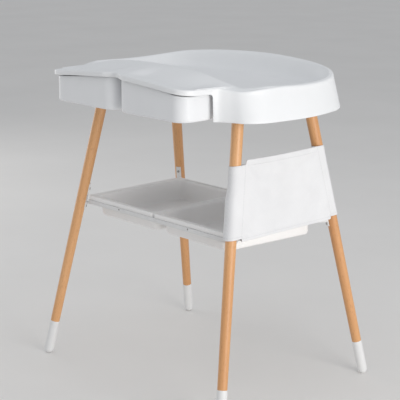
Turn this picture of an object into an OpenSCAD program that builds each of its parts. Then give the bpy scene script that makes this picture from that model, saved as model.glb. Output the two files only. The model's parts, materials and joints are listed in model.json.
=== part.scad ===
// Changing table: a moulded top with a shallow basin and two front wings, two drawers
// under the wings, four splayed wooden legs, a shelf frame with two lift-out bins and a
// fabric pocket slung between the two right-hand legs.
// Millimetres, +Z up, -Y is the front with the drawers. The origin is on the floor under
// the middle of the table.

/* [Top moulding] */
// Height of the lower edge of the top above the floor
shell_z = 820; // [780:5:860]
// Wall thickness of the top
shell_t = 4; // [3:0.5:4.5]
// Height of the lip that runs along the front of the wings
lip_h = 12.5; // [10:0.5:14]
// Depth of the shallow dish in each wing
dish_d = 9; // [4:0.5:11]

/* [Legs] */
// Half the spread of the feet, side to side
foot_x = 390; // [380:1:400]
// Half the spread of the feet, front to back
foot_y = 300.5; // [290:0.5:305]
// Half the spread of the legs side to side where they enter the top
top_x = 286.4; // [282:0.2:290]
// Half the spread of the legs front to back where they enter the top
top_y = 142; // [138:1:145]
// Radius of a leg at the floor
leg_r_foot = 13.5; // [12:0.1:14]
// Radius of a leg where it enters the top
leg_r_top = 16.6; // [15.5:0.1:17]
// Length of the foot cap along the leg
cap_len = 107; // [80:1:130]

/* [Drawers] */
// Width of one drawer
drawer_w = 270; // [255:1:272]
// Depth of one drawer, front to back
drawer_d = 134; // [120:1:135]
// Gap between the two drawers
drawer_gap = 14; // [10:1:24]

/* [Shelf] */
// Height of the shelf rim above the floor
shelf_z = 509; // [490:1:525]
// Half width of the shelf frame
shelf_x = 304; // [298:1:305]
// Depth of the two bins below the rim
bin_depth = 60; // [50:1:70]

/* [Pocket] */
// Height of the bottom of the fabric pocket
pocket_z0 = 487; // [482:1:495]
// Height of the top of the fabric pocket
pocket_z1 = 702; // [680:1:720]

/* [Hidden] */
$fn = 48;
eps = 0.01;
white = "white";
steel = "silver";

// The four corners: [side, end], -1 is left or front, +1 is right or back
corners = [[-1, -1], [1, -1], [-1, 1], [1, 1]];
// The legs stand evenly about this line, a little behind the middle of the table
mid_y = 17;

// ---------------------------------------------------------------- legs
lean_x = (foot_x - top_x) / shell_z;
lean_y = (foot_y - top_y) / shell_z;
leg_tilt = atan(norm([lean_x, lean_y]));
leg_top_z = shell_z + 31;
// Place of a leg's axis at height z
function leg_xy(c, z) = [c[0] * (foot_x - lean_x * z), mid_y + c[1] * (foot_y - lean_y * z)];
function leg_r(z) = leg_r_foot + (leg_r_top - leg_r_foot) * z / shell_z;
// Length along the leg that rises by z
function along(z) = z / cos(leg_tilt);

// Puts its children on a leg's axis, with +X leaning in over the table
module on_leg(c) {
    p = leg_xy(c, 0);
    translate([p[0], p[1], 0])
        rotate([0, leg_tilt, atan2(-c[1] * lean_y, -c[0] * lean_x)])
            children();
}

// A round bar on the leg's axis, its start line on the side away from the table
module leg_rod(c, z0, z1, r0, r1) {
    on_leg(c)
        translate([0, 0, along(z0)])
            rotate([0, 0, 180])
                cylinder(r1 = r0, r2 = r1, h = along(z1) - along(z0));
}

// A round bar that tapers with the leg and is grown by extra
module leg_bar(c, z0, z1, extra = 0) {
    leg_rod(c, z0, z1, leg_r(z0) + extra, leg_r(z1) + extra);
}

// Everything between two heights
module slab(z0, z1) {
    translate([-600, -600, z0])
        cube([1200, 1200, z1 - z0]);
}

leg_start = 9;
screw_r = 1.8;
bracket_z = [shelf_z - 44, shelf_z + 31];
bracket_screw_z = [bracket_z[0] + 10, bracket_z[1] - 11];
bracket_screw_depth = 12;
bolt_z = shell_z + 16;
bolt_r = 2.5;
bolt_depth = 20;

// Radial holes on the inner side of a leg
module leg_holes(c, heights, r, depth) {
    for (z = heights)
        on_leg(c)
            translate([leg_r(z) - depth, 0, along(z)])
                rotate([0, 90, 0])
                    cylinder(r = r, h = depth + 10, $fn = 24);
}

module leg(c) {
    color("burlywood")
        difference() {
            intersection() {
                leg_bar(c, leg_start, leg_top_z + 20);
                slab(0, leg_top_z);
            }
            leg_holes(c, bracket_screw_z, screw_r + 0.1, bracket_screw_depth + 1);
            leg_holes(c, [bolt_z], bolt_r + 0.1, bolt_depth + 1);
        }
}

// ---------------------------------------------------------------- foot caps
cap_wall = 1.1;
cap_fit = 0.05;

module foot_cap(c) {
    cap_r = leg_r_foot + cap_fit + cap_wall;
    cap_top_r = leg_r(cap_len) + cap_fit + 0.7;
    // The ball end dips just under the floor, which trims it to a flat
    ball_z = along(cap_r - 1);
    color(white)
        difference() {
            intersection() {
                on_leg(c)
                    union() {
                        translate([0, 0, ball_z])
                            sphere(r = cap_r);
                        translate([0, 0, ball_z])
                            cylinder(r1 = cap_r, r2 = cap_top_r, h = cap_len - ball_z);
                    }
                slab(0, cap_len + 20);
            }
            leg_bar(c, leg_start - 0.3, cap_len + 20, cap_fit);
        }
}

// ---------------------------------------------------------------- sockets and frame under the top
frame_t = 15;
floor_h = 55;
frame_z1 = shell_z + floor_h - shell_t;
frame_z0 = frame_z1 - frame_t;
frame_x = 269;
frame_y = [-130, 186];
frame_w = 25;
plate_t = 4;
socket_r = 22;
socket_z0 = shell_z + 3;
socket_fit = 0.1;

// A square tube of length l along X, its lower corner at the origin
module square_tube(l) {
    wall = 1.6;
    difference() {
        cube([l, frame_w, frame_t]);
        translate([-eps, wall, wall])
            cube([l + 2 * eps, frame_w - 2 * wall, frame_t - 2 * wall]);
    }
}

shell_screw_x = [-95, 95];

// Where each socket's plate is screwed to the two rails that meet over it
function socket_screw_xy(c) = [
    [c[0] * (frame_x - 24), c[1] < 0 ? frame_y[0] + 12.5 : frame_y[1] - 16],
    [c[0] * (frame_x - 12.5), c[1] < 0 ? frame_y[0] + 42 : frame_y[1] - 58]];
socket_screw_r = 2;

module socket_screw_holes() {
    for (c = corners, p = socket_screw_xy(c))
        translate([p[0], p[1], frame_z0 - 10])
            cylinder(r = socket_screw_r + 0.2, h = 14, $fn = 24);
}

module socket_screws() {
    head_h = 2;
    color(steel)
        for (c = corners, p = socket_screw_xy(c))
            translate([p[0], p[1], frame_z0 - plate_t - head_h]) {
                cylinder(r = 4, h = head_h, $fn = 24);
                cylinder(r = socket_screw_r, h = head_h + plate_t + 6, $fn = 24);
            }
}

module frame_cross_rail(y) {
    color(steel)
        difference() {
            translate([-frame_x, y, frame_z0])
                square_tube(2 * frame_x);
            for (x = shell_screw_x)
                translate([x, y + frame_w / 2, frame_z0 - 1])
                    cylinder(r = screw_r + 0.2, h = frame_t + 2, $fn = 24);
            socket_screw_holes();
        }
}

module frame_side_rail(side) {
    l = frame_y[1] - frame_y[0] - 2 * frame_w;
    x = side > 0 ? frame_x : frame_w - frame_x;
    color(steel)
        difference() {
            translate([x, frame_y[0] + frame_w, frame_z0])
                rotate([0, 0, 90])
                    square_tube(l);
            socket_screw_holes();
        }
}

// Screws that hold the frame up against the floor of the top
module shell_screws() {
    head_h = 2;
    color(steel)
        for (x = shell_screw_x, y = [frame_y[0] + frame_w / 2, frame_y[1] - frame_w / 2])
            translate([x, y, frame_z0 - head_h]) {
                cylinder(r = 4, h = head_h, $fn = 24);
                cylinder(r = screw_r, h = head_h + frame_t + 2.5, $fn = 24);
            }
}

// A sleeve for the top of a leg under a plate that carries the corner of the frame
module leg_socket(c) {
    plate = [72, 62];
    top = leg_xy(c, frame_z0);
    plate_x = c[0] > 0 ? top[0] - 46 : -top[0] - 46;
    plate_y = c[1] < 0 ? [top[1] - 26, top[1] + 36] : [top[1] - 36, top[1] + 26];
    color(steel)
        difference() {
            union() {
                mirror([c[0] > 0 ? 0 : 1, 0, 0])
                    translate([plate_x, plate_y[0], frame_z0 - plate_t])
                        cube([plate[0], plate[1], plate_t]);
                intersection() {
                    leg_rod(c, socket_z0 - 20, socket_z0 + 60, socket_r, socket_r);
                    slab(socket_z0, frame_z0 - plate_t + 1);
                }
            }
            intersection() {
                leg_bar(c, socket_z0 - 20, frame_z0 + 20, socket_fit);
                slab(0, leg_top_z + 0.1);
            }
            on_leg(c)
                translate([leg_r(bolt_z) - 1, 0, along(bolt_z)])
                    rotate([0, 90, 0])
                        cylinder(r = bolt_r + 0.2, h = 20, $fn = 24);
            socket_screw_holes();
        }
}

module leg_bolts() {
    head_h = 3;
    color(steel)
        for (c = corners)
            on_leg(c)
                translate([leg_r(bolt_z) - bolt_depth, 0, along(bolt_z)])
                    rotate([0, 90, 0]) {
                        reach = bolt_depth + socket_r - leg_r(bolt_z);
                        cylinder(r = bolt_r, h = reach + head_h, $fn = 24);
                        translate([0, 0, reach])
                            cylinder(r = 4.5, h = head_h, $fn = 6);
                    }
}

// ---------------------------------------------------------------- top moulding
// Sections round the right half of the top, from the front middle to the back middle.
// Each holds four points: the edge of the basin floor, the crest of the basin wall, the
// outer edge of the top, and where the skirt meets the lower edge, all measured from the
// lower edge of the top.
sections = [
    [[0, -118, 55], [0, -163, 121], [0, -314, 108.5], [0, -314, 0]],
    [[15, -118, 55], [15, -163, 121], [12, -315.5, 108.4], [12, -315.5, 0]],
    [[28, -118, 55], [28, -163, 121], [23, -320.5, 108.1], [23, -320.5, 0]],
    [[44, -118, 55], [46, -163, 120.9], [36, -326.5, 107.6], [36, -326.5, 0]],
    [[72, -118, 55], [77, -163, 120.5], [64, -329, 106], [64, -329, 0]],
    [[125, -118, 55], [135, -163, 117.5], [130, -329, 101.7], [130, -329, 0]],
    [[178, -118, 55], [195, -163, 111.5], [190, -329, 97.2], [190, -329, 0]],
    [[226, -116.5, 55], [246, -162, 101.5], [234, -328.5, 93.4], [234, -328.5, 0]],
    [[250, -113, 55], [277, -159, 94.5], [262, -323.5, 91.2], [262, -323.5, 0]],
    [[262, -110.5, 55], [292, -156.5, 91], [279, -311, 89.3], [279, -311, 0]],
    [[269, -108, 55], [300, -154.5, 89], [287.5, -295, 88], [287.5, -295, 0]],
    [[275, -105.5, 55], [307, -152, 87], [290, -273, 86.9], [290, -273, 0]],
    [[280, -102.5, 55], [313, -149, 85.7], [290.5, -232, 85.8], [290.5, -232, 0]],
    [[282.5, -101, 55], [316, -147.3, 85.2], [291.3, -223, 85.6], [291.3, -223, 0]],
    [[283, -100.6, 55], [316.7, -146.9, 85.1], [291.6, -222.2, 85.6], [292, -222.5, 0]],
    [[287, -97, 55], [323, -142.5, 84.8], [297, -208, 84.6], [303, -210.5, 0]],
    [[293, -90, 55], [334, -134, 85], [315, -190, 81.2], [328, -195.5, 0]],
    [[301, -79, 55], [347, -120, 86.3], [342, -170.5, 79.2], [362, -179.5, 0]],
    [[309, -60, 55], [361, -97, 88.5], [366.5, -132, 83.2], [390, -141, 0]],
    [[318, -18, 55], [369, -50, 87.5], [380, -62, 86.4], [404.5, -66, 0]],
    [[321, 52, 55], [371.5, 45, 84.8], [383, 46, 83.8], [407, 48, 0]],
    [[315, 110, 55], [367, 110, 86.2], [378, 113, 85.2], [395, 119, 0]],
    [[294, 158, 55], [347, 170, 92], [356.5, 177, 91], [371.5, 188, 0]],
    [[252, 190, 55], [305, 215, 101], [312.5, 224, 100], [326, 243, 0]],
    [[190, 205, 55], [238, 248, 107.5], [242.5, 258, 106.5], [251, 282, 0]],
    [[98, 212, 55], [126, 271, 113.5], [127.5, 281.5, 112.5], [131, 305, 0]],
    [[0, 215, 55], [0, 279, 116], [0, 289.5, 115], [0, 314, 0]]];
last = len(sections) - 1;
// The gap behind each drawer's outer side starts here: its top corner, and its full height
gap_corner = 12;
gap_edge = 13;
// How many columns of facets each stretch between two sections gets
function steps(i) = i == gap_edge ? 1 : i == gap_corner ? 4 : i < 4 ? 2 : i < 7 ? 3 : i < 17 ? 2 : 3;

function flipped(s) = [for (p = s) [-p[0], p[1], p[2]]];
function section_at(i) =
    i < 0 ? flipped(sections[-i]) : i > last ? flipped(sections[2 * last - i]) : sections[i];
function plan(p) = [p[0], p[1]];
function span(i) = norm(plan(section_at(i + 1)[2]) - plan(section_at(i)[2]));
// Slope of a ring through section i, from its two neighbours
function slope(i, k) =
    let (a = span(i - 1), b = span(i),
        back = (section_at(i)[k] - section_at(i - 1)[k]) / a,
        ahead = (section_at(i + 1)[k] - section_at(i)[k]) / b)
    (back * b + ahead * a) / (a + b);
// Point of ring k at fraction f of the way from section i to the next
function ring_point(i, f, k) =
    let (h = span(i), g = 1 - f)
    section_at(i)[k] * g * g * (1 + 2 * f) + section_at(i + 1)[k] * f * f * (3 - 2 * f)
    + (slope(i, k) * g - slope(i + 1, k) * f) * h * f * g;
function clamp(v) = max(0, min(1, v));
function smooth(v) = let (u = clamp(v)) u * u * (3 - 2 * u);
function mix(a, b, f) = a + (b - a) * f;

wall_rows = 6;
flange_rows = 5;
// Height of the lower edge: the underside of the lip on the wings, the skirt's edge behind
function low_z(i, f, edge_z) =
    let (r = 9)
    i < gap_corner ? edge_z - lip_h
    : i == gap_corner ? edge_z - lip_h - r * (1 - sqrt(1 - f * f))
    : i == gap_edge ? mix(edge_z - lip_h - r, 0, f)
    : 0;

// One column of the outer surface, from the basin floor out over the crest to the lower edge
function column(i, f) =
    let (floor_p = ring_point(i, f, 0), crest = ring_point(i, f, 1),
        edge = ring_point(i, f, 2), foot = ring_point(i, f, 3),
        width = norm(plan(edge - crest)),
        out = plan(edge - crest) / width,
        wing = smooth((width - 40) / 60),
        round_r = mix(8, 4, wing),
        depth = dish_d * wing * smooth((abs(edge[0]) - 18) / 50) * smooth((286 - abs(edge[0])) / 50),
        inner = [edge[0] - out[0] * round_r, edge[1] - out[1] * round_r, edge[2]],
        low = low_z(i, f, edge[2]),
        skirt_top = edge[2] - round_r,
        bottom = mix([edge[0], edge[1], skirt_top], foot, (skirt_top - low) / skirt_top))
    [for (j = [0:wall_rows])
        let (t = j / wall_rows, s = 3 * t * (1 - t) * (1 - t) * 0.76 + 3 * t * t * (1 - t) * 0.74 + t * t * t)
        [mix(floor_p[0], crest[0], s), mix(floor_p[1], crest[1], s),
         mix(floor_p[2], crest[2], t * t * (3 - 2 * t))],
     for (j = [1:flange_rows])
        let (t = j / flange_rows, dip = 0.5 - 0.5 * cos(360 * pow(t, 1.3)))
        [mix(crest[0], inner[0], t), mix(crest[1], inner[1], t),
         mix(crest[2], inner[2], t * t * (3 - 2 * t)) - depth * dip],
     for (a = [30, 60, 90])
        [inner[0] + out[0] * round_r * sin(a), inner[1] + out[1] * round_r * sin(a),
         inner[2] - round_r * (1 - cos(a))],
     mix([edge[0], edge[1], skirt_top], bottom, 0.5),
     bottom];

// All columns round the top, anticlockwise from the front middle
half_columns = [for (i = [0:last - 1]) for (j = [0:steps(i) - 1]) column(i, j / steps(i))];
back_column = column(last - 1, 1);
skin = [each half_columns, back_column,
    for (i = [len(half_columns) - 1:-1:1]) flipped(half_columns[i])];
columns = len(skin);
rows = len(skin[0]);
function skin_at(i, j) = skin[(i + columns) % columns][max(0, min(rows - 1, j))];
function unit(v) = v / max(norm(v), 1e-9);
// Inner face: the outer face moved inwards by the wall thickness
function inner_at(i, j) =
    let (n = unit(cross(skin_at(i + 1, j) - skin_at(i - 1, j), skin_at(i, j + 1) - skin_at(i, j - 1))))
    j == 0 ? skin_at(i, j) - [0, 0, shell_t] : skin_at(i, j) + n * shell_t;

module top_shell() {
    outer = [for (i = [0:columns - 1]) for (j = [0:rows - 1]) skin_at(i, j)];
    inner = [for (i = [0:columns - 1]) for (j = [0:rows - 1]) inner_at(i, j)];
    n = columns * rows;
    floor_mid = [0, 40, floor_h];
    faces = [
        for (i = [0:columns - 1])
            let (k = (i + 1) % columns)
            each [
                for (j = [0:rows - 2]) each [
                    [i * rows + j, k * rows + j, k * rows + j + 1],
                    [i * rows + j, k * rows + j + 1, i * rows + j + 1],
                    [n + i * rows + j, n + k * rows + j + 1, n + k * rows + j],
                    [n + i * rows + j, n + i * rows + j + 1, n + k * rows + j + 1]],
                [i * rows + rows - 1, k * rows + rows - 1, n + k * rows + rows - 1],
                [i * rows + rows - 1, n + k * rows + rows - 1, n + i * rows + rows - 1],
                [2 * n, k * rows, i * rows],
                [2 * n + 1, n + i * rows, n + k * rows]]];
    color(white)
        translate([0, 0, shell_z])
            polyhedron(points = [each outer, each inner, floor_mid, floor_mid - [0, 0, shell_t]],
                faces = faces, convexity = 6);
}

// ---------------------------------------------------------------- drawers
drawer_x0 = drawer_gap / 2;
drawer_x1 = drawer_x0 + drawer_w;
drawer_y1 = -185;
drawer_y0 = drawer_y1 - drawer_d;
drawer_mid_x = (drawer_x0 + drawer_x1) / 2;
drawer_wall = 2.6;
// The top edge follows the arched lip: its heights at the two ends and its rise between
drawer_h_in = 93;
drawer_h_out = 69.5;
arch_rise = 2.6;
// The runner's head, its neck and the gap round them
head_w = 20;
head_h = 4;
neck_w = 10;
runner_gap = 0.4;
slot_front = drawer_y0 + 18;

function drawer_top(x) =
    let (f = (x - drawer_x0) / drawer_w) mix(drawer_h_in, drawer_h_out, f) + 4 * arch_rise * f * (1 - f);

// Plan of a box with round corners between two opposite corners
module round_plan(lo, hi, r) {
    for (x = [lo[0] + r, hi[0] - r], y = [lo[1] + r, hi[1] - r])
        translate([x, y])
            circle(r = r);
    translate([lo[0] + r, lo[1]])
        square([hi[0] - lo[0] - 2 * r, hi[1] - lo[1]]);
    translate([lo[0], lo[1] + r])
        square([hi[0] - lo[0], hi[1] - lo[1] - 2 * r]);
}

module drawer_runner_slot() {
    y1 = drawer_y1 + 1;
    translate([drawer_mid_x - neck_w / 2 - runner_gap, slot_front, -1])
        cube([neck_w + 2 * runner_gap, y1 - slot_front, 6]);
    translate([drawer_mid_x - head_w / 2 - runner_gap, slot_front, 3])
        cube([head_w + 2 * runner_gap, y1 - slot_front, head_h + 2 * runner_gap]);
}

module drawer_solid() {
    r = 40;
    arch_steps = 12;
    hump_h = 3 + head_h + 2 * runner_gap + 2;
    difference() {
        intersection() {
            linear_extrude(height = drawer_h_in + 5)
                round_plan([drawer_x0, drawer_y0], [drawer_x1, drawer_y1], r);
            translate([0, drawer_y1 + 1, 0])
                rotate([90, 0, 0])
                    linear_extrude(height = drawer_d + 2)
                        polygon([[drawer_x0 - 1, 0], [drawer_x1 + 1, 0],
                            for (k = [arch_steps:-1:0])
                                let (x = mix(drawer_x0, drawer_x1, k / arch_steps))
                                [x, drawer_top(x)],
                            [drawer_x0 - 1, drawer_h_in]]);
        }
        difference() {
            translate([0, 0, 3])
                linear_extrude(height = drawer_h_in + 5)
                    round_plan([drawer_x0 + drawer_wall, drawer_y0 + drawer_wall],
                        [drawer_x1 - drawer_wall, drawer_y1 - drawer_wall], r - drawer_wall);
            translate([drawer_mid_x - head_w / 2 - 3, slot_front - 3, 0])
                cube([head_w + 6, drawer_d, hump_h]);
        }
        drawer_runner_slot();
    }
}

module drawer(side) {
    color(white)
        translate([0, 0, shell_z])
            mirror([side > 0 ? 0 : 1, 0, 0])
                drawer_solid();
}

// A T-shaped bar that a drawer slides on, with a post up to the frame
module drawer_runner(side) {
    front = slot_front + 3;
    back = frame_y[0] + frame_w - 2;
    post_y = frame_y[0] + 2;
    bar_z = 3 + runner_gap;
    color(steel)
        mirror([side > 0 ? 0 : 1, 0, 0])
            translate([drawer_mid_x, 0, shell_z]) {
                translate([-neck_w / 2, front, 0.8])
                    cube([neck_w, back - front, bar_z]);
                translate([-head_w / 2, front, bar_z])
                    cube([head_w, back - front, head_h]);
                translate([-head_w / 2, post_y, bar_z])
                    cube([head_w, back - post_y, frame_z0 - shell_z - bar_z]);
            }
}

// The panel that closes the space behind the drawers, with a flange under the frame
module bay_panel() {
    y = drawer_y1 + 5;
    t = 3;
    half_w = 292;
    flange_w = 230;
    flange_z = frame_z0 - shell_z - t;
    color(white)
        translate([0, 0, shell_z])
            difference() {
                union() {
                    translate([-half_w, y, 1])
                        cube([2 * half_w, t, 74]);
                    translate([-flange_w, y, flange_z])
                        cube([2 * flange_w, frame_y[0] + frame_w - y, t]);
                }
                for (side = [-1, 1])
                    translate([side * drawer_mid_x, 0, 0]) {
                        translate([-head_w / 2 - 2, y - 1, 0])
                            cube([head_w + 4, t + 2, 3 + head_h + 3]);
                        translate([-head_w / 2 - 1, frame_y[0] + 1, flange_z - 1])
                            cube([head_w + 2, frame_w, t + 2]);
                    }
                for (x = shell_screw_x)
                    translate([x, frame_y[0] + frame_w / 2, flange_z - 1])
                        cylinder(r = 5, h = t + 2, $fn = 24);
            }
}

// ---------------------------------------------------------------- shelf
shelf_y = [-184, 196];
shelf_corner_r = 11;
lip_t = 13;
rail_z1 = shelf_z - lip_t - 0.3;
rail_h = 12.5;
rail_z0 = rail_z1 - rail_h;
// Inner edges of the rails, which the bins drop through
open_x = 284;
open_y = [-165, 189.5];
centre_w = 16;

module shelf_plan() {
    difference() {
        round_plan([-shelf_x, shelf_y[0]], [shelf_x, shelf_y[1]], shelf_corner_r);
        translate([-open_x, open_y[0]])
            square([2 * open_x, open_y[1] - open_y[0]]);
    }
}

// The part of the shelf frame inside a rectangle between two opposite corners
module shelf_rail(lo, hi) {
    color(white)
        difference() {
            translate([0, 0, rail_z0])
                linear_extrude(height = rail_h)
                    intersection() {
                        shelf_plan();
                        translate(lo)
                            square(hi - lo);
                    }
            for (c = corners)
                shelf_screw_hole(c);
        }
}

module shelf_rail_centre() {
    color(white)
        translate([-centre_w / 2, open_y[0], rail_z0])
            cube([centre_w, open_y[1] - open_y[0], rail_h]);
}

// Each bracket's tab runs in from the leg and holds the shelf frame from below
tab_t = 6;
tab_w = 16;
tab_len = 60;
tab_hole = 52;
tab_dir = [lean_x, lean_y] / norm([lean_x, lean_y]);
function tab_mid(c) =
    leg_xy(c, rail_z0) - tab_hole * [c[0] * tab_dir[0], c[1] * tab_dir[1]];

module shelf_screw_hole(c) {
    p = tab_mid(c);
    translate([p[0], p[1], rail_z0 - 12])
        cylinder(r = screw_r + 0.15, h = 22, $fn = 24);
}

strap_t = 3.2;

module shelf_bracket(c) {
    strap_w = 15;
    fit = 0.1;
    foot = leg_xy(c, rail_z0);
    color(white)
        difference() {
            union() {
                intersection() {
                    leg_bar(c, bracket_z[0] - 20, bracket_z[1] + 20, strap_t);
                    slab(bracket_z[0], bracket_z[1]);
                    on_leg(c)
                        translate([3, -strap_w / 2, 0])
                            cube([30, strap_w, 700]);
                }
                translate([foot[0], foot[1], rail_z0 - tab_t])
                    rotate([0, 0, atan2(-c[1] * lean_y, -c[0] * lean_x)])
                        translate([leg_r(rail_z0) - 3, -tab_w / 2, 0])
                            cube([tab_len - leg_r(rail_z0) + 3, tab_w, tab_t]);
            }
            leg_bar(c, bracket_z[0] - 30, bracket_z[1] + 30, fit);
            leg_holes(c, bracket_screw_z, screw_r + 0.2, 1);
            shelf_screw_hole(c);
        }
}

module bracket_screws() {
    head_h = 1.8;
    color(steel)
        for (c = corners, z = bracket_screw_z)
            on_leg(c)
                translate([leg_r(z) - bracket_screw_depth, 0, along(z)])
                    rotate([0, 90, 0]) {
                        reach = bracket_screw_depth + strap_t + 0.1;
                        cylinder(r = screw_r, h = reach, $fn = 24);
                        translate([0, 0, reach])
                            cylinder(r = 3.6, h = head_h, $fn = 24);
                    }
}

module shelf_screws() {
    head_h = 1.8;
    color(steel)
        for (c = corners)
            translate([tab_mid(c)[0], tab_mid(c)[1], rail_z0 - tab_t - head_h]) {
                cylinder(r = 3.4, h = head_h, $fn = 24);
                cylinder(r = screw_r, h = head_h + tab_t + 8, $fn = 24);
            }
}

// ---------------------------------------------------------------- bins
bin_lip = [[1, -182], [301, 194]];
bin_lip_r = 10;
bin_body = [[14, -162.5], [281.5, 187.5]];
bin_body_r = 24;
bin_wall = 2.4;
// How far the front wall of a bin slopes back by its floor
bin_draft = 10;
// How far the floor of a bin falls from front to back
bin_fall = 13;

// A bin's body grown by extra, between two heights
module bin_body_solid(extra, z0, z1) {
    y = [bin_body[0][1] - extra, bin_body[1][1] + extra];
    draft = bin_draft * (z1 - z0) / bin_depth;
    intersection() {
        translate([0, 0, z0 - bin_fall])
            linear_extrude(height = z1 - z0 + bin_fall)
                round_plan(bin_body[0] - [extra, extra], bin_body[1] + [extra, extra],
                    bin_body_r + extra);
        translate([bin_body[0][0] - 10, 0, 0])
            rotate([90, 0, 90])
                linear_extrude(height = bin_body[1][0] - bin_body[0][0] + 20)
                    polygon([[y[0] + draft, z0], [y[1], z0 - bin_fall], [y[1], z1], [y[0], z1]]);
    }
}

module bin(side) {
    z0 = shelf_z - bin_depth;
    color(white)
        mirror([side > 0 ? 0 : 1, 0, 0])
            difference() {
                union() {
                    translate([0, 0, shelf_z - lip_t])
                        linear_extrude(height = lip_t)
                            round_plan(bin_lip[0], bin_lip[1], bin_lip_r);
                    bin_body_solid(0, z0, shelf_z - 1);
                }
                bin_body_solid(-bin_wall, z0 + bin_wall, shelf_z + 1);
            }
}

// ---------------------------------------------------------------- fabric pocket
fabric_t = 1.6;
sleeve_r = 18.4;
// The inner panel hangs a little inside the plane of the two legs
inner_x = -8;
plane_tilt = atan(lean_x);

// Stands its children in the plane of the two right-hand legs, +X facing out
module in_leg_plane() {
    translate([foot_x, mid_y, 0])
        rotate([0, -plane_tilt, 0])
            children();
}

// A sheet in the leg plane between two heights, its sides running down the legs
module leg_plane_sheet(x0, x1, z0, z1, inset) {
    function up(z) = z / cos(plane_tilt);
    function half(z) = foot_y - lean_y * z - inset;
    in_leg_plane()
        translate([x0, 0, 0])
            rotate([90, 0, 90])
                linear_extrude(height = x1 - x0)
                    polygon([[-half(z0), up(z0)], [half(z0), up(z0)], [half(z1), up(z1)], [-half(z1), up(z1)]]);
}

// Room for the shelf bracket, which the fabric hangs over
module bracket_room(c) {
    on_leg(c)
        translate([5, -11, 0])
            cube([22, 22, along(bracket_z[1] + 8)]);
}

module pocket_sleeve(end) {
    c = [1, end];
    bottom = pocket_z0 + 8;
    top = end > 0 ? pocket_z1 : pocket_z1 - 12;
    color("whitesmoke")
        difference() {
            intersection() {
                leg_rod(c, 400, 800, sleeve_r, sleeve_r);
                slab(bottom, top);
            }
            leg_rod(c, 380, 820, sleeve_r - fabric_t, sleeve_r - fabric_t);
            bracket_room(c);
        }
}

module pocket_panel(x0, z1, inset) {
    color("whitesmoke")
        difference() {
            leg_plane_sheet(x0, x0 + fabric_t, pocket_z0, z1, inset);
            for (end = [-1, 1]) {
                leg_rod([1, end], 400, 800, sleeve_r + 0.05, sleeve_r + 0.05);
                bracket_room([1, end]);
            }
        }
}

module pocket_outer_panel() pocket_panel(sleeve_r - 1, pocket_z1, 0);
module pocket_inner_panel() pocket_panel(inner_x, pocket_z1 - 22, 10);

module pocket_bottom() {
    color("whitesmoke")
        difference() {
            leg_plane_sheet(inner_x + fabric_t + 0.02, sleeve_r - 1.02, pocket_z0, pocket_z0 + fabric_t, 10);
            for (end = [-1, 1]) {
                leg_rod([1, end], 400, 800, sleeve_r + 0.05, sleeve_r + 0.05);
                bracket_room([1, end]);
            }
        }
}

// ---------------------------------------------------------------- the pieces
top_shell();
frame_cross_rail(frame_y[0]);  // frame_front_rail
frame_cross_rail(frame_y[1] - frame_w);  // frame_back_rail
frame_side_rail(-1);  // frame_left_rail
frame_side_rail(1);  // frame_right_rail
bay_panel();
shell_screws();
socket_screws();
leg_socket([-1, -1]);  // leg_socket_front_left
leg_socket([1, -1]);  // leg_socket_front_right
leg_socket([-1, 1]);  // leg_socket_back_left
leg_socket([1, 1]);  // leg_socket_back_right
leg([-1, -1]);  // leg_front_left
leg([1, -1]);  // leg_front_right
leg([-1, 1]);  // leg_back_left
leg([1, 1]);  // leg_back_right
leg_bolts();
foot_cap([-1, -1]);  // foot_cap_front_left
foot_cap([1, -1]);  // foot_cap_front_right
foot_cap([-1, 1]);  // foot_cap_back_left
foot_cap([1, 1]);  // foot_cap_back_right
drawer_runner(-1);  // drawer_runner_left
drawer_runner(1);  // drawer_runner_right
drawer(-1);  // drawer_left
drawer(1);  // drawer_right
shelf_bracket([-1, -1]);  // shelf_bracket_front_left
shelf_bracket([1, -1]);  // shelf_bracket_front_right
shelf_bracket([-1, 1]);  // shelf_bracket_back_left
shelf_bracket([1, 1]);  // shelf_bracket_back_right
shelf_rail([-400, shelf_y[0]], [400, open_y[0]]);  // shelf_rail_front
shelf_rail([-400, open_y[1]], [400, shelf_y[1]]);  // shelf_rail_back
shelf_rail([-400, open_y[0]], [-open_x, open_y[1]]);  // shelf_rail_left
shelf_rail([open_x, open_y[0]], [400, open_y[1]]);  // shelf_rail_right
shelf_rail_centre();
bracket_screws();
shelf_screws();
bin(-1);  // bin_left
bin(1);  // bin_right
pocket_sleeve(-1);  // pocket_sleeve_front
pocket_sleeve(1);  // pocket_sleeve_back
pocket_outer_panel();
pocket_inner_panel();
pocket_bottom();
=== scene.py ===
import json
import math

import bmesh
import bpy
import numpy as np
from mathutils import Matrix, Vector


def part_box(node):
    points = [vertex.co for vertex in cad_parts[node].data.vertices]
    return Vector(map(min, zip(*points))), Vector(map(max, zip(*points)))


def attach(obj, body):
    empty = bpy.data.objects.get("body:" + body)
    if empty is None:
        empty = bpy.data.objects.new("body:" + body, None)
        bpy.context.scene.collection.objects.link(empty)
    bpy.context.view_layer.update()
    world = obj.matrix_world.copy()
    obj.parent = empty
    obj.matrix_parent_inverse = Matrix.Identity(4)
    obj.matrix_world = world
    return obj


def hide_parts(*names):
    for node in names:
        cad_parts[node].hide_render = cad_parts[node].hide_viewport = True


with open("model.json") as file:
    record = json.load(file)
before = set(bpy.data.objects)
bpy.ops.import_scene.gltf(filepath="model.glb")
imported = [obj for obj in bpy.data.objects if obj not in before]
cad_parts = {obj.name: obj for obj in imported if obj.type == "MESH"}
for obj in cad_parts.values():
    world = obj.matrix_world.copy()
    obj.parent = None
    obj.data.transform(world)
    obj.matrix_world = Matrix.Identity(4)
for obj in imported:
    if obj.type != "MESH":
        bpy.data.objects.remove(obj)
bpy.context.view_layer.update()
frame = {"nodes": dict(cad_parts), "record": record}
scene = bpy.context.scene

MM = 0.001
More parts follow.
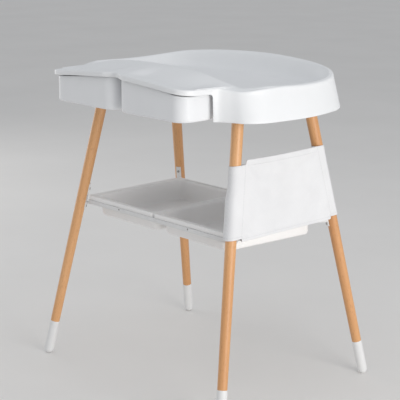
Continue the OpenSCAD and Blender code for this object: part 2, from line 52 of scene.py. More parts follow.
# The height of the lower edge of the moulded top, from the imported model
SHELL_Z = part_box("top_shell")[0].z
SIDES = {"left": -1, "right": 1}


# ---------------------------------------------------------------- helpers
def smooth_step(v):
    u = min(1.0, max(0.0, v))
    return u * u * (3 - 2 * u)


def mix(a, b, f):
    return a + (b - a) * f


def arc(start_deg, end_deg, count):
    """Angles in radians from one to the other, both included."""
    return np.radians(np.linspace(start_deg, end_deg, count))


def shade_smooth(mesh):
    mesh.polygons.foreach_set("use_smooth", [True] * len(mesh.polygons))


def make_object(name, verts, faces, sharp_deg=40):
    """A mesh object with smooth shading, sharp only at edges steeper than sharp_deg."""
    mesh = bpy.data.meshes.new(name)
    mesh.from_pydata([tuple(float(c) for c in v) for v in verts], [], faces)
    mesh.validate()
    shade_smooth(mesh)
    mesh.set_sharp_from_angle(angle=math.radians(sharp_deg))
    obj = bpy.data.objects.new(name, mesh)
    scene.collection.objects.link(obj)
    return obj


def face_out(obj):
    """Turns every face of a closed mesh outwards."""
    bm = bmesh.new()
    bm.from_mesh(obj.data)
    bmesh.ops.recalc_face_normals(bm, faces=bm.faces)
    bm.to_mesh(obj.data)
    bm.free()


def apply_modifiers(obj):
    """Replaces the object's mesh by its mesh with all its modifiers applied."""
    graph = bpy.context.evaluated_depsgraph_get()
    mesh = bpy.data.meshes.new_from_object(obj.evaluated_get(graph))
    obj.modifiers.clear()
    obj.data = mesh


def bevel(obj, width, segments, angle_deg):
    """Rounds the edges that are steeper than angle_deg."""
    mod = obj.modifiers.new("bevel", "BEVEL")
    mod.width = width
    mod.segments = segments
    mod.limit_method = "ANGLE"
    mod.angle_limit = math.radians(angle_deg)
    apply_modifiers(obj)
    shade_smooth(obj.data)
    obj.data.set_sharp_from_angle(angle=math.radians(angle_deg))


def loft(name, rings, sharp_deg):
    """Closed rings of equal length joined one to the next, with a fan over each end."""
    n = len(rings[0])
    verts = [p for ring in rings for p in ring]
    faces = []
    for k in range(len(rings) - 1):
        for i in range(n):
            j = (i + 1) % n
            faces.append((k * n + i, k * n + j, (k + 1) * n + j, (k + 1) * n + i))
    for ring_no in (0, len(rings) - 1):
        verts.append(np.mean(rings[ring_no], axis=0))
        hub = len(verts) - 1
        for i in range(n):
            j = (i + 1) % n
            faces.append((ring_no * n + i, ring_no * n + j, hub))
    obj = make_object(name, verts, faces, sharp_deg)
    face_out(obj)
    return obj


def round_plan(lo, hi, r, corner=10, edge=12):
    """Points round a rectangle with round corners, the same number whatever its size."""
    centres = [(hi[0] - r, lo[1] + r, -90), (hi[0] - r, hi[1] - r, 0),
               (lo[0] + r, hi[1] - r, 90), (lo[0] + r, lo[1] + r, 180)]

    def on_corner(k, share):
        x, y, start = centres[k % 4]
        a = math.radians(start + 90 * share)
        return x + r * math.cos(a), y + r * math.sin(a)

    points = []
    for k in range(4):
        points += [on_corner(k, s / corner) for s in range(corner + 1)]
        end, start = points[-1], on_corner(k + 1, 0)
        points += [(mix(end[0], start[0], s / edge), mix(end[1], start[1], s / edge))
                   for s in range(1, edge)]
    return np.array(points)


def fillet_rings(ring, r, inset, base, angles):
    """Rings round the corner of radius r between a floor and a wall."""
    return [ring(inset + r * (1 - math.sin(a)), base + r * (1 - math.cos(a))) for a in angles]


def finish_piece(obj, body, slot_name, *nodes, finish=None):
    """Gives a piece the material of its slot, or of the finish when one is given, puts it under its body
    and hides the CAD nodes that it stands for.
    """
    obj.data.materials.clear()
    obj.data.materials.append(MATERIALS[finish or slot_name])
    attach(obj, body)
    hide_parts(*nodes)


# ---------------------------------------------------------------- materials
def new_material(name):
    mat = bpy.data.materials.new(name)
    mat.use_nodes = True
    nodes = mat.node_tree.nodes
    return mat, nodes, mat.node_tree.links, nodes["Principled BSDF"]


def add_noise(nodes, links, coord, scale, detail=4.0, roughness=0.55, stretch=(1, 1, 1)):
    mapping = nodes.new("ShaderNodeMapping")
    mapping.inputs["Scale"].default_value = stretch
    links.new(coord, mapping.inputs["Vector"])
    tex = nodes.new("ShaderNodeTexNoise")
    tex.inputs["Scale"].default_value = scale
    tex.inputs["Detail"].default_value = detail
    tex.inputs["Roughness"].default_value = roughness
    links.new(mapping.outputs["Vector"], tex.inputs["Vector"])
    return tex.outputs["Fac"]


def add_ramp(nodes, links, value, stops):
    ramp = nodes.new("ShaderNodeValToRGB")
    links.new(value, ramp.inputs["Fac"])
    elements = ramp.color_ramp.elements
    while len(elements) < len(stops):
        elements.new(0.5)
    for element, (place, colour) in zip(elements, stops):
        element.position = place
        element.color = (*colour, 1)
    return ramp.outputs["Color"]


def add_range(nodes, links, value, low, high):
    m = nodes.new("ShaderNodeMapRange")
    m.inputs["To Min"].default_value = low
    m.inputs["To Max"].default_value = high
    links.new(value, m.inputs["Value"])
    return m.outputs["Result"]


def add_bump(nodes, links, height, distance, strength=1.0, normal=None):
    b = nodes.new("ShaderNodeBump")
    b.inputs["Distance"].default_value = distance
    b.inputs["Strength"].default_value = strength
    links.new(height, b.inputs["Height"])
    if normal is not None:
        links.new(normal, b.inputs["Normal"])
    return b.outputs["Normal"]


# The colour sockets of a Mix node
MIX_A, MIX_B, MIX_RESULT = 6, 7, 2


def multiply(nodes, links, factor, base, tint):
    """The base colour times a tint, which counts by the factor."""
    node = nodes.new("ShaderNodeMix")
    node.data_type = "RGBA"
    node.blend_type = "MULTIPLY"
    node.inputs["Factor"].default_value = factor
    links.new(base, node.inputs[MIX_A])
    links.new(tint, node.inputs[MIX_B])
    return node.outputs[MIX_RESULT]


def plastic(name, colour, shade, rough=(0.34, 0.46), grain=0.00003):
    """Moulded plastic: a faint mottle, uneven gloss, soft waves and a fine mould texture."""
    mat, nodes, links, shader = new_material(name)
    coord = nodes.new("ShaderNodeTexCoord").outputs["Object"]
    mottle = add_noise(nodes, links, coord, 9, 5)
    links.new(add_ramp(nodes, links, mottle, [(0.3, shade), (0.75, colour)]),
              shader.inputs["Base Color"])
    gloss = add_noise(nodes, links, coord, 34, 6, 0.65)
    links.new(add_range(nodes, links, gloss, *rough), shader.inputs["Roughness"])
    fine = add_noise(nodes, links, coord, 1500, 2)
    wave = add_noise(nodes, links, coord, 26, 2)
    soft = add_bump(nodes, links, wave, 0.0004, 0.35)
    links.new(add_bump(nodes, links, fine, grain, 0.6, soft), shader.inputs["Normal"])
    shader.inputs["Specular IOR Level"].default_value = 0.5
    return mat


def beech_wood(name):
    """Lacquered beech: long soft grain along the leg, short dark flecks, a satin coat."""
    mat, nodes, links, shader = new_material(name)
    along_leg = nodes.new("ShaderNodeAttribute")
    along_leg.attribute_name = "grain_co"
    coord = along_leg.outputs["Vector"]
    bands = add_noise(nodes, links, coord, 20, 5, 0.6, (1.0, 1.0, 0.06))
    fibres = add_noise(nodes, links, coord, 420, 3, 0.6, (1.0, 1.0, 0.03))
    flecks = add_noise(nodes, links, coord, 700, 1, 0.5, (1.0, 1.0, 0.10))
    base = add_ramp(nodes, links, bands, [(0.28, (0.60, 0.275, 0.105)), (0.5, (0.74, 0.385, 0.165)),
                                          (0.72, (0.83, 0.47, 0.225))])
    dark = add_ramp(nodes, links, flecks, [(0.30, (0.72, 0.66, 0.60)), (0.36, (1, 1, 1))])
    lines = add_ramp(nodes, links, fibres, [(0.3, (0.86, 0.84, 0.82)), (0.7, (1, 1, 1))])
    flecked = multiply(nodes, links, 0.8, base, dark)
    links.new(multiply(nodes, links, 0.5, flecked, lines), shader.inputs["Base Color"])
    links.new(add_range(nodes, links, fibres, 0.36, 0.52), shader.inputs["Roughness"])
    links.new(add_bump(nodes, links, fibres, 0.00012, 0.5), shader.inputs["Normal"])
    shader.inputs["Coat Weight"].default_value = 0.25
    shader.inputs["Coat Roughness"].default_value = 0.3
    return mat


def metal(name, colour, metallic, rough, grain_scale, grain):
    """Powder-coated metal, or bare metal where metallic is 1."""
    mat, nodes, links, shader = new_material(name)
    coord = nodes.new("ShaderNodeTexCoord").outputs["Object"]
    tone = add_noise(nodes, links, coord, 16, 4)
    low = tuple(c * 0.93 for c in colour)
    links.new(add_ramp(nodes, links, tone, [(0.3, low), (0.7, colour)]), shader.inputs["Base Color"])
    links.new(add_range(nodes, links, add_noise(nodes, links, coord, 45, 5), *rough),
              shader.inputs["Roughness"])
    links.new(add_bump(nodes, links, add_noise(nodes, links, coord, grain_scale, 2), grain, 0.7),
              shader.inputs["Normal"])
    shader.inputs["Metallic"].default_value = metallic
    return mat


THREAD_PITCH = 1.1 * MM


def add_threads(nodes, links, coord, axis, pitch):
    """Rounded ridges a pitch apart along one axis."""
    tex = nodes.new("ShaderNodeTexWave")
    tex.wave_type = "BANDS"
    tex.bands_direction = axis
    tex.inputs["Scale"].default_value = math.pi / (20 * pitch)
    tex.inputs["Distortion"].default_value = 0.4
    tex.inputs["Detail"].default_value = 1
    tex.inputs["Detail Scale"].default_value = 40
    links.new(coord, tex.inputs["Vector"])
    return tex.outputs["Fac"]


def canvas(name, colour, shade):
    """White cotton canvas: crossing threads, slubs, and a soft sheen."""
    mat, nodes, links, shader = new_material(name)
    coord = nodes.new("ShaderNodeTexCoord").outputs["Object"]
    warp = add_threads(nodes, links, coord, "Y", THREAD_PITCH)
    weft = add_threads(nodes, links, coord, "Z", THREAD_PITCH)
    weave = nodes.new("ShaderNodeMath")
    weave.operation = "MAXIMUM"
    links.new(warp, weave.inputs[0])
    links.new(weft, weave.inputs[1])
    slubs = add_noise(nodes, links, coord, 160, 3, 0.6, (1, 1, 0.25))
    cloudy = add_noise(nodes, links, coord, 14, 4)
    base = add_ramp(nodes, links, cloudy, [(0.3, shade), (0.7, colour)])
    gaps = add_ramp(nodes, links, weave.outputs["Value"], [(0.0, (0.86, 0.86, 0.86)), (0.8, (1, 1, 1))])
    links.new(multiply(nodes, links, 0.5, base, gaps), shader.inputs["Base Color"])
    links.new(add_range(nodes, links, slubs, 0.78, 0.95), shader.inputs["Roughness"])
    coarse = add_bump(nodes, links, slubs, 0.0003, 0.5)
    links.new(add_bump(nodes, links, weave.outputs["Value"], 0.00018, 0.8, coarse),
              shader.inputs["Normal"])
    shader.inputs["Sheen Weight"].default_value = 0.15
    shader.inputs["Sheen Roughness"].default_value = 0.5
    return mat


MATERIALS = {
    "shell_plastic": plastic("shell_plastic", (0.85, 0.86, 0.87), (0.825, 0.835, 0.845)),
    "drawer_plastic": plastic("drawer_plastic", (0.84, 0.85, 0.865), (0.815, 0.825, 0.84),
                              (0.4, 0.52), 0.00005),
    "bin_plastic": plastic("bin_plastic", (0.93, 0.92, 0.91), (0.905, 0.895, 0.885),
                           (0.36, 0.5), 0.00004),
    "cap_plastic": plastic("cap_plastic", (0.82, 0.82, 0.82), (0.78, 0.78, 0.775), (0.34, 0.5)),
    "beech": beech_wood("beech"),
    "white_metal": metal("white_metal", (0.80, 0.80, 0.80), 0.0, (0.32, 0.45), 1200, 0.00004),
    "frame_steel": metal("frame_steel", (0.42, 0.42, 0.43), 0.0, (0.45, 0.6), 1200, 0.00005),
    "fastener_steel": metal("fastener_steel", (0.36, 0.35, 0.34), 1.0, (0.25, 0.4), 500, 0.00002),
    "pocket_fabric": canvas("pocket_fabric", (0.83, 0.83, 0.84), (0.79, 0.79, 0.80)),
    "thread": canvas("thread", (0.66, 0.66, 0.67), (0.60, 0.60, 0.61)),
}


# ---------------------------------------------------------------- the moulded top
# Sections round the right half, from the front middle to the back middle, in millimetres from
# the lower edge of the top: edge of the basin floor, crest of the basin wall, outer edge, and
# where the skirt meets the lower edge. All the numbers of the top are in millimetres.
SECTIONS = np.array([
    [[0, -118, 55], [0, -163, 121], [0, -314, 108.5], [0, -314, 0]],
    [[15, -118, 55], [15, -163, 121], [12, -315.5, 108.4], [12, -315.5, 0]],
    [[28, -118, 55], [28, -163, 121], [23, -320.5, 108.1], [23, -320.5, 0]],
    [[44, -118, 55], [46, -163, 120.9], [36, -326.5, 107.6], [36, -326.5, 0]],
    [[72, -118, 55], [77, -163, 120.5], [64, -329, 106], [64, -329, 0]],
    [[125, -118, 55], [135, -163, 117.5], [130, -329, 101.7], [130, -329, 0]],
    [[178, -118, 55], [195, -163, 111.5], [190, -329, 97.2], [190, -329, 0]],
    [[226, -116.5, 55], [246, -162, 101.5], [234, -328.5, 93.4], [234, -328.5, 0]],
    [[250, -113, 55], [277, -159, 94.5], [262, -323.5, 91.2], [262, -323.5, 0]],
    [[262, -110.5, 55], [292, -156.5, 91], [279, -311, 89.3], [279, -311, 0]],
    [[269, -108, 55], [300, -154.5, 89], [287.5, -295, 88], [287.5, -295, 0]],
    [[275, -105.5, 55], [307, -152, 87], [290, -273, 86.9], [290, -273, 0]],
    [[280, -102.5, 55], [313, -149, 85.7], [290.5, -232, 85.8], [290.5, -232, 0]],
    [[282.5, -101, 55], [316, -147.3, 85.2], [291.3, -223, 85.6], [291.3, -223, 0]],
    [[283, -100.6, 55], [316.7, -146.9, 85.1], [291.6, -222.2, 85.6], [292, -222.5, 0]],
    [[287, -97, 55], [323, -142.5, 84.8], [297, -208, 84.6], [303, -210.5, 0]],
    [[293, -90, 55], [334, -134, 85], [315, -190, 81.2], [328, -195.5, 0]],
    [[301, -79, 55], [347, -120, 86.3], [342, -170.5, 79.2], [362, -179.5, 0]],
    [[309, -60, 55], [361, -97, 88.5], [366.5, -132, 83.2], [390, -141, 0]],
    [[318, -18, 55], [369, -50, 87.5], [380, -62, 86.4], [404.5, -66, 0]],
    [[321, 52, 55], [371.5, 45, 84.8], [383, 46, 83.8], [407, 48, 0]],
    [[315, 110, 55], [367, 110, 86.2], [378, 113, 85.2], [395, 119, 0]],
    [[294, 158, 55], [347, 170, 92], [356.5, 177, 91], [371.5, 188, 0]],
    [[252, 190, 55], [305, 215, 101], [312.5, 224, 100], [326, 243, 0]],
    [[190, 205, 55], [238, 248, 107.5], [242.5, 258, 106.5], [251, 282, 0]],
    [[98, 212, 55], [126, 271, 113.5], [127.5, 281.5, 112.5], [131, 305, 0]],
    [[0, 215, 55], [0, 279, 116], [0, 289.5, 115], [0, 314, 0]]])
FLOOR_P, EDGE = 0, 2
LAST = len(SECTIONS) - 1
# The stretches where the drawer gap's corner turns and where its side drops to the lower edge
GAP_CORNER, GAP_SIDE = 12, 13
GAP_R = 9.0
USUAL_STEPS, STRETCH_STEPS = 10, {GAP_CORNER: 14, GAP_SIDE: 4}
WALL_POINTS, TOP_POINTS = 20, 24
LIP_H = 12.5
SHELL_T = 4.0
# The radius of the outer edge, round the basin and on a wing
EDGE_R, WING_EDGE_R = 8, 4
# A wing starts where the crest is this far from the outer edge
WING_FROM, WING_BLEND = 40, 60
# The dish in each wing: its depth, where it lies across the table, and how it leans outwards
DISH_D, DISH_FROM, DISH_TO, DISH_BLEND, DISH_SKEW = 9.0, 18, 286, 50, 1.3
# How the basin wall eases out of the floor and into the crest
WALL_EASE = (0.76, 0.74)
SKIRT_SHARES = (0.15, 0.35, 0.6, 0.8, 0.93, 1)
FLOOR_MID = (0, 40)
FLOOR_SHARES = (0.12, 0.35, 0.6, 0.82, 0.95)


def flipped(section):
    return section * np.array([-1, 1, 1])


def section_at(i):
    if i < 0:
        return flipped(SECTIONS[-i])
    return flipped(SECTIONS[2 * LAST - i]) if i > LAST else SECTIONS[i]


def span(i):
    return np.linalg.norm((section_at(i + 1) - section_at(i))[EDGE][:2])


def slope(i):
    a, b = span(i - 1), span(i)
    back = (section_at(i) - section_at(i - 1)) / a
    ahead = (section_at(i + 1) - section_at(i)) / b
    return (back * b + ahead * a) / (a + b)


def section_between(i, f):
    """A smooth blend of two neighbouring sections."""
    h, g = span(i), 1 - f
    return (section_at(i) * g * g * (1 + 2 * f) + section_at(i + 1) * f * f * (3 - 2 * f)
            + (slope(i) * g - slope(i + 1) * f) * h * f * g)


def low_height(i, f, edge_z):
    """Height of the lower edge: the underside of the lip on the wings, 0 behind the gap."""
    if i < GAP_CORNER:
        return edge_z - LIP_H
    if i == GAP_CORNER:
        return edge_z - LIP_H - GAP_R * (1 - math.sqrt(1 - f * f))
    return mix(edge_z - LIP_H - GAP_R, 0, f) if i == GAP_SIDE else 0.0


def wall_points(floor_p, crest):
    """Up the basin wall, from the floor to the crest."""
    points = []
    for t in np.linspace(0, 1, WALL_POINTS):
        s = 3 * t * (1 - t) ** 2 * WALL_EASE[0] + 3 * t * t * (1 - t) * WALL_EASE[1] + t ** 3
        points.append([*mix(floor_p, crest, s)[:2], mix(floor_p[2], crest[2], smooth_step(t))])
    return points


def top_points(crest, end, depth):
    """Outwards from the crest, with the dish on the way."""
    points = []
    for t in np.linspace(0, 1, TOP_POINTS)[1:]:
        dip = 0.5 - 0.5 * math.cos(2 * math.pi * t ** DISH_SKEW)
        points.append([*mix(crest, end, t)[:2], mix(crest[2], end[2], smooth_step(t)) - depth * dip])
    return points


def shell_column(i, f):
    """Outer surface along one section, from the basin floor over the crest to the lower edge."""
    floor_p, crest, edge, foot = section_between(i, f)
    width = np.linalg.norm((edge - crest)[:2])
    out = np.array([*((edge - crest)[:2] / width), 0])
    wing = smooth_step((width - WING_FROM) / WING_BLEND)
    r = mix(EDGE_R, WING_EDGE_R, wing)
    x = abs(edge[0])
    inside_dish = smooth_step((x - DISH_FROM) / DISH_BLEND) * smooth_step((DISH_TO - x) / DISH_BLEND)
    before_edge = edge - out * r
    points = wall_points(floor_p, crest)
    points += top_points(crest, before_edge, DISH_D * wing * inside_dish)
    points += [before_edge + out * r * math.sin(a) - np.array([0, 0, r * (1 - math.cos(a))])
               for a in arc(0, 90, 8)[1:]]
    top = np.array([edge[0], edge[1], edge[2] - r])
    bottom = mix(top, foot, (top[2] - low_height(i, f, edge[2])) / top[2])
    return points + [mix(top, bottom, t) for t in SKIRT_SHARES]


def shell_grid():
    """Columns all round the top, anticlockwise from the front middle, as an array of points."""
    half = []
    for i in range(LAST):
        steps = STRETCH_STEPS.get(i, USUAL_STEPS)
        half += [shell_column(i, j / steps) for j in range(steps)]
    half = np.array(half)
    back = np.array([shell_column(LAST - 1, 1)])
    return np.concatenate([half, back, flipped(half[:0:-1])])


def down_and_normal(grid):
    """At each point of the grid, the way down its column and the outward direction."""
    across = np.roll(grid, -1, 0) - np.roll(grid, 1, 0)
    down = np.empty_like(grid)
    down[:, 1:-1] = grid[:, 2:] - grid[:, :-2]
    down[:, 0] = grid[:, 1] - grid[:, 0]
    down[:, -1] = grid[:, -1] - grid[:, -2]
    normal = np.cross(across, down)
    normal /= np.linalg.norm(normal, axis=2)[..., None]
    normal[:, 0] = (0, 0, -1)
    return down, normal


def build_top_shell():
    grid = shell_grid()
    down, normal = down_and_normal(grid)
    inner = grid + normal * SHELL_T
    # A half-round bead joins the two faces along the lower edge
    mid = (grid[:, -1] + inner[:, -1]) / 2
    end = down[:, -1] / np.linalg.norm(down[:, -1], axis=1)[:, None]
    bead = [mid - normal[:, -1] * SHELL_T / 2 * math.cos(a) + end * SHELL_T / 2 * math.sin(a)
            for a in arc(30, 150, 5)]
    floor_mid = np.array([*FLOOR_MID, SECTIONS[0][FLOOR_P][2]])
    outer_floor = [mix(floor_mid, grid[:, 0], s) for s in FLOOR_SHARES]
    inner_floor = [ring - np.array([0, 0, SHELL_T]) for ring in reversed(outer_floor)]
    outer_rings = list(np.swapaxes(grid, 0, 1))
    inner_rings = list(np.swapaxes(inner, 0, 1))[::-1]
    rings = outer_floor + outer_rings + bead + inner_rings + inner_floor
    lift = np.array([0, 0, SHELL_Z / MM])
    shell = loft("top_shell_moulding", [(ring + lift) * MM for ring in rings], 50)
    finish_piece(shell, "root", "shell_plastic", "top_shell")


build_top_shell()


# ---------------------------------------------------------------- drawers
DRAWER_R = 40 * MM
DRAWER_WALL = 2.6 * MM
DRAWER_FLOOR = 3 * MM
DRAWER_FILLET = 6 * MM
# Heights of the drawer's top edge beside the middle of the table and at its outer side, and how
# far the edge arches between them and stays under the lip
DRAWER_H_IN, DRAWER_H_OUT = 93 * MM, 69.5 * MM
DRAWER_ARCH = 2.6 * MM
LIP_GAP = 0.6 * MM
WALL_SHARES = (0.1, 0.3, 0.5, 0.7, 0.9)
COVER_HALF, COVER_H, COVER_R = 12.4 * MM, 9.8 * MM, 3.5 * MM
# The cover starts behind the drawer's front, inside its floor, and stops inside its back wall
COVER_FRONT, COVER_BACK, COVER_SUNK = 16 * MM, 1.5 * MM, 1 * MM


def drawer_top_height(x, lo, hi, side):
    """The arched top edge, which follows the lip over it."""
    f = (x - lo.x) / (hi.x - lo.x)
    f = f if side > 0 else 1 - f
    return lo.z + mix(DRAWER_H_IN, DRAWER_H_OUT, f) + 4 * DRAWER_ARCH * f * (1 - f) - LIP_GAP


def build_drawer(word, side):
    node = "drawer_" + word
    lo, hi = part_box(node)
    edge_r = DRAWER_WALL / 2

    def ring(inset, height_at):
        plan = round_plan((lo.x + inset, lo.y + inset), (hi.x - inset, hi.y - inset),
                          DRAWER_R - inset)
        return [(x, y, height_at(x)) for x, y in plan]

    def level(inset, z):
        return ring(inset, lambda x: z)

    def wall(inset, base, t):
        return ring(inset, lambda x: mix(base, drawer_top_height(x, lo, hi, side) - edge_r, t))

    def edge(a):
        drop = edge_r * (1 - math.sin(a))
        return ring(edge_r * (1 - math.cos(a)), lambda x: drawer_top_height(x, lo, hi, side) - drop)

    floor_top = lo.z + DRAWER_FLOOR
    rings = [level(inset, lo.z) for inset in (34 * MM, 22 * MM, 12 * MM)]
    rings += fillet_rings(level, DRAWER_FILLET, 0, lo.z, arc(0, 90, 7))
    rings += [wall(0, lo.z + DRAWER_FILLET, t) for t in WALL_SHARES]
    rings += [edge(a) for a in arc(0, 180, 9)]
    rings += [wall(DRAWER_WALL, floor_top + DRAWER_FILLET, t) for t in reversed(WALL_SHARES)]
    rings += fillet_rings(level, DRAWER_FILLET, DRAWER_WALL, floor_top, arc(90, 0, 7))
    rings += [level(inset, floor_top) for inset in (14 * MM, 24 * MM, 34 * MM)]
    drawer = loft(node + "_tray", rings, 45)
    finish_piece(drawer, node, "drawer_plastic", node)


def cover_profile(base, top):
    """The channel's section as (x, z) points: upright sides and a flat top with round corners."""
    half = [(-COVER_HALF, base), (-COVER_HALF, top - COVER_R)]
    half += [(-COVER_HALF + COVER_R * (1 - math.cos(a)), top - COVER_R * (1 - math.sin(a)))
             for a in arc(22.5, 90, 4)]
    return half + [(-x, z) for x, z in reversed(half)]


def build_runner_cover(word):
    """The raised channel in a drawer's floor that clears the head of its runner."""
    node = "drawer_" + word
    lo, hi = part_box(node)
    mid = (lo.x + hi.x) / 2
    base = lo.z + COVER_SUNK
    profile = cover_profile(base, lo.z + COVER_H)
    front, back = lo.y + COVER_FRONT, hi.y - COVER_BACK

    def ring(y, size):
        return [(mid + x * size, y, base + (z - base) * size) for x, z in profile]

    rings = [ring(front, 0.55), ring(front + 0.6 * MM, 0.8), ring(front + 2 * MM, 0.94)]
    rings += [ring(mix(front + 4 * MM, back, t), 1) for t in np.linspace(0, 1, 12)]
    cover = loft(node + "_runner_cover", rings, 50)
    finish_piece(cover, node, "drawer_plastic")


for word, side in SIDES.items():
    build_drawer(word, side)
    build_runner_cover(word)


# ---------------------------------------------------------------- legs and foot caps
CORNERS = {"front_left": (-1, -1), "front_right": (1, -1), "back_left": (-1, 1), "back_right": (1, 1)}
# Half the distances between the legs' axes at the floor and at the top, and their middle line
FOOT_X, FOOT_Y, MID_Y = 390 * MM, 300.5 * MM, 17 * MM
TOP_X, TOP_Y = 286.4 * MM, 142 * MM
LEAN_X, LEAN_Y = (FOOT_X - TOP_X) / SHELL_Z, (FOOT_Y - TOP_Y) / SHELL_Z
LEG_TILT = math.atan(math.hypot(LEAN_X, LEAN_Y))
LEG_R_FOOT, LEG_R_TOP = 13.5 * MM, 16.6 * MM
LEG_BOTTOM, LEG_TOP = 9 * MM, 847 * MM
CAP_TOP, CAP_WALL, CAP_RIM = 107 * MM, 1.15 * MM, 0.75 * MM


def leg_r(z):
    """The leg's radius at a height."""
    return mix(LEG_R_FOOT, LEG_R_TOP, z / SHELL_Z)


def along(z):
    """The way up the leg that reaches a height."""
    return z / math.cos(LEG_TILT)


def leg_matrix(side, end):
    """A leg's own frame: +Z up the leg from the floor and +X leaning in over the table."""
    foot = Matrix.Translation((side * FOOT_X, MID_Y + end * FOOT_Y, 0))
    turn = Matrix.Rotation(math.atan2(-end * LEAN_Y, -side * LEAN_X), 4, "Z")
    return foot @ turn @ Matrix.Rotation(LEG_TILT, 4, "Y")


def lathe(name, profile, place, segments=64, sharp_deg=40):
    """A solid of revolution through (radius, height) points, put in place, closed at both ends.

    It keeps where each point lay before it was leant over, for the grain of the wood.
    """
    angles = np.linspace(0, 2 * math.pi, segments, endpoint=False)
    rings = [[(r * math.cos(a), r * math.sin(a), z) for a in angles] for r, z in profile]
    obj = loft(name, rings, sharp_deg)
    grain = obj.data.attributes.new("grain_co", "FLOAT_VECTOR", "POINT")
    for v, g in zip(obj.data.vertices, grain.data):
        g.vector = v.co + Vector((place[0][3], place[1][3], 0))
        v.co = place @ v.co
    obj.data.update()
    return obj


def build_leg(word, side, end):
    bottom, bottom_r, edge = along(LEG_BOTTOM), leg_r(LEG_BOTTOM), 1.5 * MM
    profile = [(bottom_r - edge, bottom), (bottom_r, bottom + edge)]
    profile += [(leg_r(z), along(z)) for z in np.linspace(0.02, 0.84, 60)]
    profile += [(LEG_R_TOP - 1 * MM, along(LEG_TOP))]
    leg = lathe("leg_" + word + "_turning", profile, leg_matrix(side, end))
    finish_piece(leg, "root", "beech", "leg_" + word)


def build_cap(word, side, end):
    """A cap with a round foot, flat where it stands, and a rim that turns in to the leg."""
    r = LEG_R_FOOT + CAP_WALL
    leg_top_r = leg_r(CAP_TOP)
    rim_r = leg_top_r + CAP_RIM
    ball_z = along(r - 1 * MM)
    profile = [(r * math.sin(a), ball_z - r * math.cos(a)) for a in arc(4, 90, 22)]
    profile += [(mix(r, rim_r, t), mix(ball_z, CAP_TOP - 0.8 * MM, t))
                for t in (0.2, 0.4, 0.6, 0.8, 0.95, 1)]
    profile += [(rim_r - 0.25 * MM, CAP_TOP - 0.2 * MM), (rim_r - 0.6 * MM, CAP_TOP)]
    profile += [(leg_top_r + 0.05 * MM, CAP_TOP - 0.3 * MM), (leg_top_r - 0.5 * MM, CAP_TOP - 3 * MM)]
    cap = lathe("foot_cap_" + word + "_cover", profile, leg_matrix(side, end), 64, 55)
    for v in cap.data.vertices:
        v.co.z = max(v.co.z, 0)
    finish_piece(cap, "root", "cap_plastic", "foot_cap_" + word)


for word, (side, end) in CORNERS.items():
    build_leg(word, side, end)
    build_cap(word, side, end)


# ---------------------------------------------------------------- shelf bins
BIN_LIP_R, BIN_LIP_T, BIN_EDGE_R = 10 * MM, 13 * MM, 2.4 * MM
BIN_BODY_R, BIN_WALL = 24 * MM, 2.4 * MM
# The round edge of a bin's floor, outside and inside
BIN_FILLET, BIN_FILLET_IN = 7 * MM, 6 * MM
# How far the front wall comes in from the lip to the floor, and the curve it takes
BIN_DRAFT, BIN_BOW = 10 * MM, 1.15
# How far the floor of a bin falls from front to back
BIN_FALL = 13 * MM
# How far the body stands in from the lip: centre side, outer side, front, back
BIN_INSET = (13 * MM, 19.5 * MM, 19.5 * MM, 6.5 * MM)
# How far in the rings of a flat floor lie, from its edge
FLOOR_RINGS = (60 * MM, 35 * MM, 18 * MM)
# The finger notch: its middle across the table, half its width, and its height
NOTCH_X, NOTCH_HALF, NOTCH_LIFT = 167 * MM, 11 * MM, 4.2 * MM


def notch_lip(tray, lo, mid, under):
    """A finger notch under the front lip: the lip's lower edge lifts there."""
    for v in tray.data.vertices:
        near = 1 - smooth_step(abs(v.co.x - mid) / NOTCH_HALF)
        if v.co.y < lo.y + 5 * MM and v.co.z < under + 2 * MM:
            v.co.z += NOTCH_LIFT * near


def lip_rings(lip_ring, body_ring, top):
    """From the wall's outside under the lip, round the lip's edge and back to the wall's inside."""
    under, edge_z = top - BIN_LIP_T, top - BIN_EDGE_R
    rings = [body_ring(-1.2 * MM, under)]
    rings += [lip_ring(9 * MM, under), lip_ring(1 * MM, under)]
    rings += [lip_ring(0, under + 1 * MM), lip_ring(0, edge_z)]
    rings += [lip_ring(BIN_EDGE_R * (1 - math.cos(a)), top - BIN_EDGE_R * (1 - math.sin(a)))
              for a in np.radians((25, 50, 75, 90))]
    # The lip's top dips a little inside its raised edge
    rings += [lip_ring(4.5 * MM, top - 0.2 * MM), lip_ring(6.5 * MM, top - 1.1 * MM)]
    rings.append(body_ring(-3.4 * MM, top - 1.3 * MM))
    rings += [body_ring(-1.2 * MM, top - 1.7 * MM), body_ring(0.8 * MM, top - 3 * MM)]
    return rings


